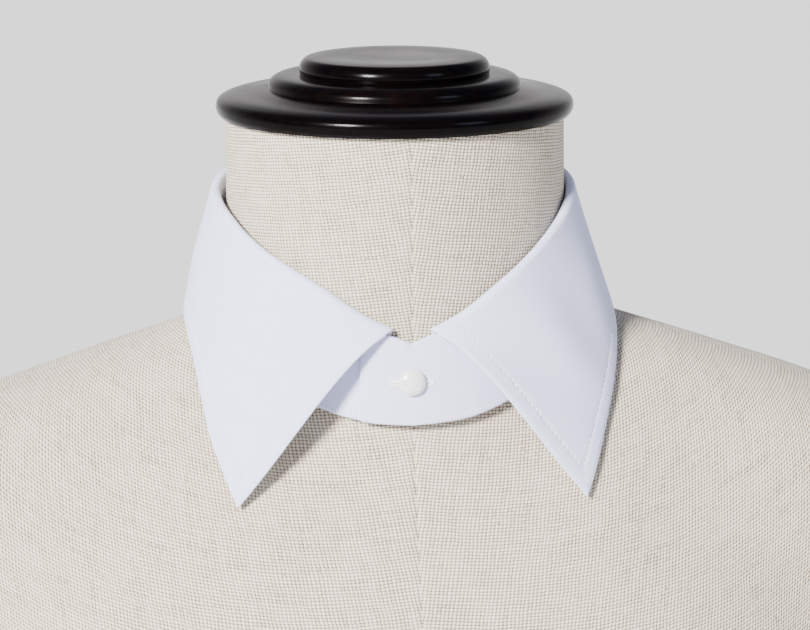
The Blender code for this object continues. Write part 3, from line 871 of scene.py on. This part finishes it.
def make_stand(cloth, thread):
    turns = stand_turns()
    edge = np.array((0.0, 0.004, 0.010, 0.02, 0.04, 0.075, 0.11, 0.14, 0.17, 0.20, 0.24))
    above = np.concatenate([edge, np.linspace(0.3, 0.94, 7), [0.97, 1.0]])
    below = 1 - above[::-1]
    grid = []
    for turn in turns:
        from_end = np.radians(min(turn + OVER_END, 360 + OVER_END - turn)) * FOOT_DEEP
        grid.append(stand_section(turn, from_end, above, below))
    grid, turns = facing_out(np.array(grid) + np.array([COLLAR_SHIFT, 0, 0]), turns)
    normal = grid_normals(grid)
    slit = len(above) - 1
    skip = {(i, slit) for i in range(len(turns) - 1)
            if slit_half(turns[i]) > 0 and slit_half(turns[i + 1]) > 0}
    down = np.cumsum(np.linalg.norm(np.diff(grid, axis=1, prepend=grid[:, :1]), axis=2), axis=1)
    across = np.broadcast_to(run_lengths(grid[:, slit])[:, None], down.shape)
    flat = np.stack([across, down - grid[:, :1, 2]], axis=2)
    border, border_normal, flat_border = (
        np.concatenate([g[0], g[1:-1, -1], g[-1][::-1], g[1:-1, 0][::-1], g[:1, 0]]) for g in (grid, normal, flat))
    distance = nearest_on_line(flat.reshape(-1, 2), flat_border)[0].reshape(grid.shape[:2])
    line = inset_line(border, border_normal, STAND_INSET, surface_tree(grid))
    maps, run = cloth_maps(grid, run_lengths(grid[:, slit]), line)
    swell = pucker(distance, STAND_INSET, run) * 0.6
    item, tree = cloth_shell("stand_cloth", grid, distance, np.zeros(distance.shape), swell, skip, cloth, maps)
    return item, sew("stand_topstitching", line, tree, thread), tree


def stud_seat():
    """Where the stud's axis crosses the middle of the overlapped ends, and how far it tips up."""
    top, foot = seam_drop(0.0), foot_drop(0.0)
    level = (STUD_DROP - top) / (foot - top)
    upper, lower = seam_radius(0.0) - lap(0.0), FOOT_DEEP
    radius = upper + (lower - upper) * level**STAND_FLARE
    tip = np.arctan(STAND_FLARE * level ** (STAND_FLARE - 1) * (lower - upper) / (foot - top))
    return place(0.0, radius, STUD_DROP) + np.array([COLLAR_SHIFT, 0, 0]), float(tip)


def turned(name, profile, segments, material):
    """A closed turned piece from a profile of (radius, height), top to bottom, on the Z axis."""
    points, faces, rings = [], [], []
    for radius, height in profile:
        if radius < 1e-6:
            rings.append([len(points)])
            points.append((0.0, 0.0, height))
            continue
        rings.append(list(range(len(points), len(points) + segments)))
        for k in range(segments):
            angle = 2 * pi * k / segments
            points.append((radius * cos(angle), radius * sin(angle), height))
    for a, b in zip(rings[:-1], rings[1:]):
        for k in range(segments):
            j = (k + 1) % segments
            face = [a[k % len(a)], b[k % len(b)], b[j % len(b)], a[j % len(a)]]
            face = [v for n, v in enumerate(face) if v not in face[:n]]
            if len(face) > 2:
                faces.append(tuple(face))
    return outward(add_mesh(name, points, faces, material), 35.0)


def smooth_stretch(points, parts):
    """A Catmull-Rom line through a stretch of points."""
    p = np.array(points, float)
    p = np.concatenate([[2 * p[0] - p[1]], p, [2 * p[-1] - p[-2]]])
    line = []
    for a, b, c, d in zip(p[:-3], p[1:-2], p[2:-1], p[3:]):
        gap = np.linalg.norm(c - b)
        before, after = max(np.linalg.norm(b - a), 1e-9), max(np.linalg.norm(d - c), 1e-9)
        start = gap * ((c - b) / gap + (b - a) / before) / 2
        stop = gap * ((c - b) / gap + (d - c) / after) / 2
        for t in np.linspace(0, 1, parts, endpoint=False):
            line.append((1 + 2 * t) * (1 - t) ** 2 * b + t * (1 - t) ** 2 * start
                        + t * t * (3 - 2 * t) * c + t * t * (t - 1) * stop)
    line.append(p[-2])
    return line


def make_cap(material):
    profile = []
    for stretch in CAP_PROFILE:
        line = smooth_stretch(stretch, 7)
        profile += [(r, TOP - drop) for r, drop in (line if not profile else line[1:])]
    return turned("cap_turned", profile, 160, material)


def make_stud(material):
    seat, tip = stud_seat()
    layers = LAP / 2 + CLOTH / 2
    head = layers + 0.6 * MM
    back = -layers - 0.5 * MM
    dome = [(STUD_HEAD * sin(a), head + 0.2 * MM + 2.2 * MM * cos(a)) for a in np.linspace(0, pi / 2, 14)]
    dome[0] = (0.0, dome[0][1])
    profile = dome + [(STUD_HEAD - 0.05 * MM, head + 0.08 * MM), (STUD_HEAD - 0.25 * MM, head),
                      (STUD_SHANK + 0.2 * MM, head), (STUD_SHANK, head - 0.2 * MM),
                      (STUD_SHANK, back + 0.2 * MM), (STUD_SHANK + 0.2 * MM, back), (STUD_BACK - 0.3 * MM, back),
                      (STUD_BACK - 0.08 * MM, back - 0.12 * MM), (STUD_BACK, back - 0.4 * MM),
                      (STUD_BACK - 0.12 * MM, back - 0.7 * MM), (STUD_BACK - 0.5 * MM, back - 0.85 * MM),
                      (0.0, back - 0.9 * MM)]
    item = turned("stud_turned", profile, 64, material)
    item.data.transform(Matrix.Translation(Vector(seat)) @ Matrix.Rotation(pi / 2 - tip, 4, "X"))
    return item


def make_buttonhole(tree, thread):
    """The close stitches round the buttonhole in the end that lies over, with a bar at each end."""
    points, faces = [], []
    around, stations = 6, 5
    thick = 0.18 * MM
    reach = BUTTONHOLE + 0.5 * MM
    for x in np.arange(-reach, reach + 1e-9, 0.30 * MM):
        turn = np.degrees(x / FOOT_DEEP)
        inner = float(slit_half(turn)) + 0.10 * MM
        outer = inner + 0.95 * MM
        if abs(x) > BUTTONHOLE - 0.3 * MM:
            inner, outer = 0.0, 1.25 * MM
        for side in (1.0, -1.0):
            first = len(points)
            for station in np.linspace(0, 1, stations):
                drop = STUD_DROP - side * (inner + (outer - inner) * station)
                guess = place(turn, FOOT_DEEP + LAP, drop) + np.array([COLLAR_SHIFT, 0, 0])
                spot, normal, _, _ = tree.find_nearest(Vector(guess))
                up = np.array(normal) * (-1.0 if normal[1] > 0 else 1.0)
                rise = 0.18 * MM * sin(pi * min(max(station, 0.12), 0.88))
                for k in range(around):
                    angle = 2 * pi * k / around
                    offset = np.array([thick * cos(angle), 0.0, 0.0]) + up * (rise + thick * sin(angle) * 0.9)
                    points.append(np.array(spot) + offset)
            faces += tube_faces(first, stations, around)
    return outward(add_mesh("buttonhole_stitches", points, faces, thread), 180.0)


def form_turns():
    """Turns of the form's meridians, with close ones beside each seam."""
    steps = np.arange(220) * 2 * pi / 220
    turns = list(np.degrees(steps + 0.24 * np.sin(2 * steps)))
    for seam in SEAM_TURNS:
        turns = [t for t in turns if abs((t - seam + 180) % 360 - 180) > 2.4]
        turns += [(seam + away) % 360 for away in (-2.0, -1.3, -0.8, -0.45, 0.0, 0.45, 0.8, 1.3, 2.0)]
    return np.array(sorted(turns))


def make_form(material):
    """The covered form, with a seam at the front, at the back and over each shoulder and side."""
    turns = form_turns()
    rings = 240
    fine = np.linspace(NECK_TOP, TOP - BASE_EDGE, 3000)
    columns = []
    for turn in turns:
        radius = form_radius(turn, fine)
        run = np.concatenate([[0.0], np.cumsum(np.hypot(np.diff(fine), np.diff(radius)))])
        drops = np.interp(np.linspace(0, run[-1], rings), run, fine)
        line = [place(turn, form_radius(turn, drop), drop) for drop in drops]
        foot = form_radius(turn, TOP - BASE_EDGE)
        for bend in (18.0, 36.0, 54.0, 72.0, 90.0):
            inset = BASE_EDGE * (1 - cos(radians(bend)))
            line.append(place(turn, foot - inset, TOP - BASE_EDGE * (1 - sin(radians(bend)))))
        columns.append(line)
    grid = np.array(columns)
    closed = np.concatenate([grid, grid[:1]])
    step = np.linalg.norm(np.diff(closed, axis=0), axis=2)
    around = np.concatenate([np.zeros((1, grid.shape[1])), np.cumsum(step, axis=0)])
    down = np.cumsum(np.linalg.norm(np.diff(closed, axis=1, prepend=closed[:, :1]), axis=2), axis=1)
    at = {seam: int(np.argmin(np.abs(turns - seam))) for seam in SEAM_TURNS}
    count = len(turns)
    whole = around[-1]
    near = np.full(grid.shape[:2], np.inf)
    for seam in SEAM_TURNS:
        apart = np.abs(around[:-1] - around[at[seam]])
        near = np.minimum(near, np.minimum(apart, whole - apart))
    normal = grid_normals(np.concatenate([grid[-2:], grid, grid[:2]]))[2:-2]
    if normal[0, 100] @ np.array([0, -1.0, 0]) < 0:
        normal = -normal
    rim = ease((TOP - BASE_EDGE - (TOP - grid[..., 2])) / 0.004)
    seam_dip = -0.35 * MM * np.exp(-((near / (0.8 * MM)) ** 2)) * rim
    moved = grid + normal * seam_dip[..., None]
    rows = grid.shape[1]
    points = list(moved.reshape(-1, 3))
    faces, cuts = [], []
    for i in range(count):
        j = (i + 1) % count
        facing_front = turns[i] < 90.0 or turns[i] >= 270.0
        right = turns[i] < 180.0
        if facing_front:
            zero = around[0] if right else whole
        else:
            zero = around[at[180.0]]
        lean, droop = (GRAIN_LEAN, -GRAIN_DROOP) if right else (-GRAIN_LEAN, GRAIN_DROOP)
        for k in range(rows - 1):
            faces.append((i * rows + k, i * rows + k + 1, j * rows + k + 1, j * rows + k))
            for column, row in ((i, k), (i, k + 1), (i + 1, k + 1), (i + 1, k)):
                u = around[column, row] - zero[row]
                v = down[column, row]
                cuts.append((u + lean * v, v + droop * u))
    for ring_row, order in ((0, 1), (rows - 1, -1)):
        cap = [i * rows + ring_row for i in range(count)][::order]
        faces.append(tuple(cap))
        cuts += [(points[v][0], points[v][1]) for v in cap]
    item = add_mesh("form_cover", points, faces, material)
    layer = item.data.uv_layers.new(name="Cut")
    layer.data.foreach_set("uv", np.array(cuts, dtype=np.float32).ravel())
    return outward(item, 60.0)


# Studio

PHOTO_WIDTH, PHOTO_HEIGHT = 810, 630
LENS_PIXELS = 2787.0


def make_camera():
    """The photo's viewing angle: a long lens a metre away, a little above the collar and left of it."""
    data = bpy.data.cameras.new("camera")
    data.sensor_width = 36.0
    data.lens = LENS_PIXELS / PHOTO_WIDTH * data.sensor_width
    pitch, roll, around = radians(12.616), radians(-0.27), radians(-5.5)
    yaw = atan2(9.4, LENS_PIXELS)
    ahead = Vector((-sin(around), cos(around), 0.0))
    right = Vector((cos(around), sin(around), 0.0))
    turned_ahead = ahead * cos(yaw) + right * sin(yaw)
    turned_right = right * cos(yaw) - ahead * sin(yaw)
    up = Vector((0, 0, 1))
    forward = turned_ahead * cos(pitch) - up * sin(pitch)
    upward = turned_ahead * sin(pitch) + up * cos(pitch)
    level = turned_right * cos(roll) + upward * sin(roll)
    upward = upward * cos(roll) - turned_right * sin(roll)
    matrix = Matrix((level, upward, -forward)).transposed().to_4x4()
    matrix.translation = Vector((-0.0958457, -0.9953962, TOP + 0.128103))
    camera = bpy.data.objects.new("camera", data)
    camera.matrix_world = matrix
    bpy.context.scene.collection.objects.link(camera)
    bpy.context.scene.camera = camera


def make_sun(name, comes_from, strength, spread, colour):
    """A very large soft source, far away, so that the floor is lit evenly."""
    data = bpy.data.lights.new(name, "SUN")
    data.energy = strength
    data.angle = radians(spread)
    data.color = colour
    lamp = bpy.data.objects.new(name, data)
    lamp.rotation_euler = (-Vector(comes_from)).to_track_quat("-Z", "Y").to_euler()
    bpy.context.scene.collection.objects.link(lamp)


def make_world():
    """A pale wall low down behind the form, and a dimmer room in front and overhead."""
    world = bpy.data.worlds.new("studio")
    world.use_nodes = True
    tree = world.node_tree
    split = tree.nodes.new("ShaderNodeSeparateXYZ")
    behind = tree.nodes.new("ShaderNodeMath")
    behind.operation = "MULTIPLY_ADD"
    behind.inputs[1].default_value = -1.5
    share = tree.nodes.new("ShaderNodeMapRange")
    share.inputs["From Min"].default_value = -0.3
    share.inputs["From Max"].default_value = 0.55
    ramp = tree.nodes.new("ShaderNodeValToRGB")
    tree.links.new(tree.nodes.new("ShaderNodeTexCoord").outputs["Generated"], split.inputs[0])
    tree.links.new(split.outputs["Z"], behind.inputs[0])
    tree.links.new(split.outputs["Y"], behind.inputs[2])
    tree.links.new(behind.outputs[0], share.inputs["Value"])
    tree.links.new(share.outputs["Result"], ramp.inputs[0])
    tree.links.new(ramp.outputs["Color"], tree.nodes["Background"].inputs["Color"])
    room, wall = ramp.color_ramp.elements
    room.color = (0.12, 0.135, 0.215, 1.0)
    wall.color = (1.15, 1.11, 1.11, 1.0)
    tree.nodes["Background"].inputs["Strength"].default_value = 1.15
    bpy.context.scene.world = world


def make_studio():
    floor_radius = 14.0
    points = [(floor_radius * cos(2 * pi * k / 96), floor_radius * sin(2 * pi * k / 96), 0.0) for k in range(96)]
    floor = add_mesh("floor", points, [tuple(range(96))], plain("floor_paint", (0.775, 0.777, 0.775), 0.85))
    make_sun("left_key", (-0.560, -0.693, 0.50), 12.8, 14.0, (1.0, 0.99, 0.975))
    make_sun("right_fill", (0.66, -0.62, 0.46), 0.6, 20.0, (0.60, 0.75, 1.0))
    make_world()


def main():
    make_camera()
    cloth, thread = cotton(), sewing_thread()
    leaf, leaf_stitches = make_leaf(cloth, thread)
    stand, stand_stitches, stand_tree = make_stand(cloth, thread)
    buttonhole = make_buttonhole(stand_tree, thread)
    stud = make_stud(pearl())
    cap = make_cap(lacquer())
    form = make_form(linen())
    for item, node in ((leaf, "collar_leaf"), (stand, "collar_stand"), (stud, "front_stud"),
                       (cap, "form_cap"), (form, "form_body")):
        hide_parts(node)
    for item, slot in ((leaf, "collar_cloth"), (leaf_stitches, "collar_cloth"), (stand, "collar_cloth"),
                       (stand_stitches, "collar_cloth"), (buttonhole, "collar_cloth"), (stud, "stud_face"),
                       (cap, "cap_wood"), (form, "form_linen")):
        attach(item, BODY)
    make_studio()


main()
